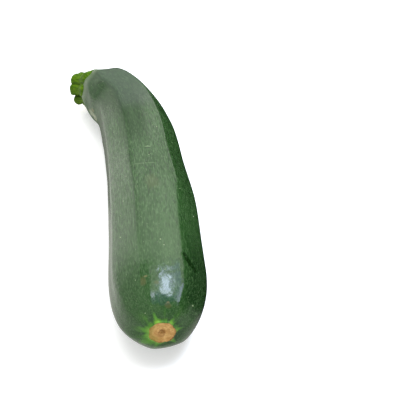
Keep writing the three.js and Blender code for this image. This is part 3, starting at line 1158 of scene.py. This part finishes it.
# %% Stalk colours
RIB_GREEN = (0.031, 0.074, 0.0010)
RIB_LIGHT = (0.072, 0.142, 0.003)
GROOVE_SHADE_GREEN = (0.012, 0.04, 0.003)
PITH = (0.50, 0.50, 0.24)
DRY_EDGE = (0.40, 0.25, 0.08)
ribbed = Finish(green_ribs)
rib_green = ribbed.coats(
    ribbed.mix(ribbed.grain(0.9, 6, 3).ramp(0.35, 0.7), RIB_GREEN, RIB_LIGHT),
    # painted shade: darker and bluer down in the grooves
    (ribbed.hollow.ramp(0.06, 0.26), 0.5, GROOVE_SHADE_GREEN),
)
cut_reach = ribbed.reach + ribbed.waver(1.2, 1.5, 1, 3, 2)
pith = ribbed.coats(
    ribbed.mix(cut_reach.ramp(7.0, 10.2), PITH, DRY_EDGE),
    (ribbed.grain(0.6, 1, 3, 5).ramp(0.5, 0.75), 0.4, DRY_EDGE),
)
is_cut = ribbed.reach.ramp(10.7, 10.2)
ribbed.set({"Base Color": ribbed.mix(is_cut, rib_green, pith), "IOR": 1.18})
ribbed.set({"Roughness": is_cut.ramp(0, 1, 0.55, 0.8)})
ribbed.bump(ribbed.grain(0.5, 8, 3, 3) * 0.08 + ribbed.grain(0.4, 1, 3, 4) * is_cut * 0.15)
print("stalk colours")

# %% [markdown]
# ## The table
# The courgette lies on a pale matt table. It could be plain white, but a little noise
# in its colour and a little glow of its own keep its shadows soft, as in a bright room.
# Reflections don't see the table itself: a card further on stands in for it, because
# only a card can be lit just as the skin should mirror it.


# %% Table
def stage_mesh(name, corners, material):
    mesh = bpy.data.meshes.new(name)
    mesh.from_pydata(corners, [], [tuple(range(i, i + 4)) for i in range(0, len(corners), 4)])
    mesh.materials.append(material)
    made = put(name, mesh)
    return made


def flat(left, right, near, far, height):
    """Corners of a level rectangle."""
    return [(left, near, height), (right, near, height), (right, far, height), (left, far, height)]


TABLE_SIDE = 6.0
half = TABLE_SIDE / 2
pale = bpy.data.materials.new("pale_matt_table")
table_paint = Paint(pale)
cloudiness = table_paint.add("ShaderNodeTexNoise", None, {"Scale": 9, "Detail": 2})
table_paint.set({"Base Color": cloudiness.ramp(0.3, 0.7, 0.80, 0.82), "Roughness": 0.9})
table_paint.set({"Emission Color": (1, 1, 1, 1), "Emission Strength": 0.35})
table = stage_mesh("table", flat(-half, half, -half, half, 0), pale)
table.visible_glossy = False
print("table", TABLE_SIDE, "m wide")

# %% [markdown]
# ## Two lamps
# A wide soft lamp high above, a little behind, gives the fruit its shape and lays a soft
# shadow round it. It is hidden from reflections, where a lamp so large would cover
# everything. The second lamp is smaller, level like a skylight, and bluish: it is the
# one whose reflection makes the bright glint near the blossom end.


# %% Lamps
def direction(azimuth, elevation):
    """Azimuth 0 looks along +Y and 90 along +X; elevation is above the table."""
    turn, rise = math.radians(azimuth), math.radians(elevation)
    level = math.cos(rise)
    return Vector((math.sin(turn) * level, math.cos(turn) * level, math.sin(rise)))


def soft_lamp(name, place, size, power, colour=(1, 1, 1)):
    """A level rectangle of light at a place in metres."""
    data = bpy.data.lights.new(name, "AREA")
    data.shape = "RECTANGLE"
    data.size, data.size_y = size
    data.energy = power
    data.color = colour
    made = put(name, data)
    made.location = place
    made.rotation_mode = "QUATERNION"
    return made


LAMP_AIM = Vector((0.01, -0.03, 0.02))
to_lamp = direction(10, 75)
overhead = soft_lamp("overhead", LAMP_AIM + to_lamp * 1.2, (1.2, 1.2), 16)
overhead.rotation_quaternion = to_lamp.to_track_quat("Z", "Y")
overhead.visible_glossy = False
soft_lamp("glint", (0.283, 0.09, 0.9), (0.24, 0.54), 5.4, (0.82, 0.95, 1.23))

# %% [markdown]
# ## Cards for the reflections
# Waxy skin shows its surroundings more than its own colour. Building a whole room for it
# would be wasteful. A studio puts up white cards, and so does this script: glowing
# sheets that only reflections see, so that they add no light and no shadow and never
# stand in the picture. Most are upright walls round the fruit, the others lie level
# above it. Where a card shouldn't be even, a tone gives its glow from place to place.


# %% Cards
WARMTH = 0.93  # the cards' blue, as a share of their red
WALL_AWAY = 0.6
WALL_STEPS = 24


def card(name, corners, glow, blue=WARMTH, tone=None):
    """A glowing sheet. tone may give the share of its glow at x, y, z in metres."""
    sheet = bpy.data.materials.new(name)
    paint = Paint(sheet)
    paint.set({"Base Color": (0, 0, 0, 1), "Specular IOR Level": 0})
    paint.set({"Emission Color": (1, 1, blue, 1), "Emission Strength": glow})
    if tone:
        share = tone(*paint.split(paint.add("ShaderNodeTexCoord").out("Object")))
        paint.set({"Emission Color": paint.join(share, share, share * blue)})
    sheet.cycles.emission_sampling = "NONE"
    made = stage_mesh(name, corners, sheet)
    made.visible_camera = made.visible_diffuse = made.visible_shadow = False


def wall(start, end, low, high):
    """Corners of an upright wall round the fruit from one azimuth to another."""
    corners = []
    for i in range(WALL_STEPS):
        a, b = (start + (end - start) * k / WALL_STEPS for k in (i, i + 1))
        foot_a, foot_b = direction(a, 0) * WALL_AWAY, direction(b, 0) * WALL_AWAY
        for foot, height in ((foot_a, low), (foot_b, low), (foot_b, high), (foot_a, high)):
            corners.append((foot.x, foot.y, height))
    return corners


print("a wall stands", WALL_AWAY, "m from the middle of the fruit")


# %% Tones
def back_tone(x, y, z):
    """The back wall dims towards the table and towards the left."""
    return z.ramp(0.14, 0.6, 0.42, 1) * x.ramp(-0.35, 0.2, 0.70, 1)


def left_tone(x, y, z):
    """The left wall dims towards its far left end."""
    return x.ramp(-0.58, -0.43, 0.5, 1)


def table_tone(x, y, z):
    """The lit table is brightest on the left, and dim close to the fruit."""
    left = x.ramp(-0.04, -0.08)
    beside = 1 + y.ramp(-0.08, -0.02) * 0.6 - y.ramp(0.085, 0.125) * x.ramp(-0.18, -0.13) * 0.55
    ahead = y.ramp(-0.04, -0.09)
    before = ahead * y.ramp(-0.14, -0.19, 0.5, 0.95)
    under = (1 - ahead) * x.ramp(0.0, -0.03) * 0.6
    shaded = x.ramp(-0.078, -0.064) * y.ramp(0.028, 0.042)
    return (left * beside + (1 - left) * (before + under)) * (1 - shaded * 0.55)


def sky_tone(x, y, z):
    """The skylight fades towards the front."""
    return y.ramp(-0.34, -0.2, 0.6, 1.6)


print("tones are ready")

# %% [markdown]
# ## The walls, the windows and the sky
# The wall at the back gives the upper skin its even sheen, low walls show in the left
# flank, and a dimmer front keeps the near end dark. On the right stands a bright window,
# with softer panes round it. Overhead hangs a skylight of several parts: a broad one, a
# bluer one that makes the halo round the glint, a bright pane towards the viewer, and a
# low, blue sky at the right. Where two cards overlap, the nearer one hides the other, so
# their heights differ a little.

# %% The cards in their places
front = wall(-195, -92, -1.0, 0.02) + wall(-195, -76, 0.02, 1.0)
CARDS = [  # name, corners, glow, then its blue and its tone if it has them
    ("back_card", wall(-40, 38, 0.0, 1.1), 2.5, WARMTH, back_tone),
    ("left_low_card", wall(-76, -43, -0.26, 0.02), 2.1),
    ("left_high_card", wall(-76, -40, 0.02, 0.7), 2.25, WARMTH, left_tone),
    ("left_front_card", wall(-92, -76, -0.26, 0.02), 1.4),
    ("front_card", front, 0.95),
    ("right_fill_card", wall(118, 165, 0.0, 0.66), 0.45),
    ("ceiling_card", flat(-0.6, 0.6, -0.6, 0.6, 0.95), 0.6),
    ("skylight_card", flat(-0.06, 0.55, -0.20, 0.50, 0.92), 2.4),
    ("side_low_card", wall(38, 78, 0.36, 0.6), 2.0),
    ("side_card", wall(38, 78, 0.6, 0.92), 2.4, 1.6),
    ("upper_card", wall(78, 118, 0.66, 0.92), 2.4, 1.6),
    ("halo_card", flat(0.13, 0.55, -0.08, 0.45, 0.91), 3.3, 1.35),
    ("lower_pane", flat(-0.06, 0.03, -0.42, -0.14, 0.9), 10, 1.3),
    ("right_front_card", wall(95, 165, -1.2, 0.0), 0.9),
    ("right_window", wall(78, 126, 0.36, 0.66), 5, 1.5),
    ("low_sky", flat(-0.1, 0.8, -0.72, -0.20, 0.905), 1, 2.3, sky_tone),
    ("table_card", flat(-0.6, 0.6, -0.6, 0.4, -0.03), 1, WARMTH, table_tone),
]
for parts in CARDS:
    card(*parts)
print(len(CARDS), "cards")

# %% [markdown]
# ## The room's own light
# An even white world fills the shadows, as pale walls do. Reflections don't see it,
# because they have the cards. The Standard view shows colours just as they are mixed,
# which suits a bright, plain picture.

# %% World
ROOM_LIGHT = 0.85
world = bpy.data.worlds.new("room")
world.use_nodes = True
room = Sheet(world.node_tree)
room.fill(world.node_tree.nodes["Background"], {"Color": (1, 1, 1, 1), "Strength": ROOM_LIGHT})
world.cycles_visibility.glossy = False
bpy.context.scene.world = world
bpy.context.scene.view_settings.view_transform = "Standard"
print("room light", ROOM_LIGHT)

# %% [markdown]
# ## Hand over
# Each piece rides on the fruit's one body and stands for its solid.

# %% Finish
for piece, node, slot in ((fruit, "fruit", "skin"), (stalk, "stalk", "stalk")):
    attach(piece, "root")
    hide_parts(node)
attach(lenticels, "root")
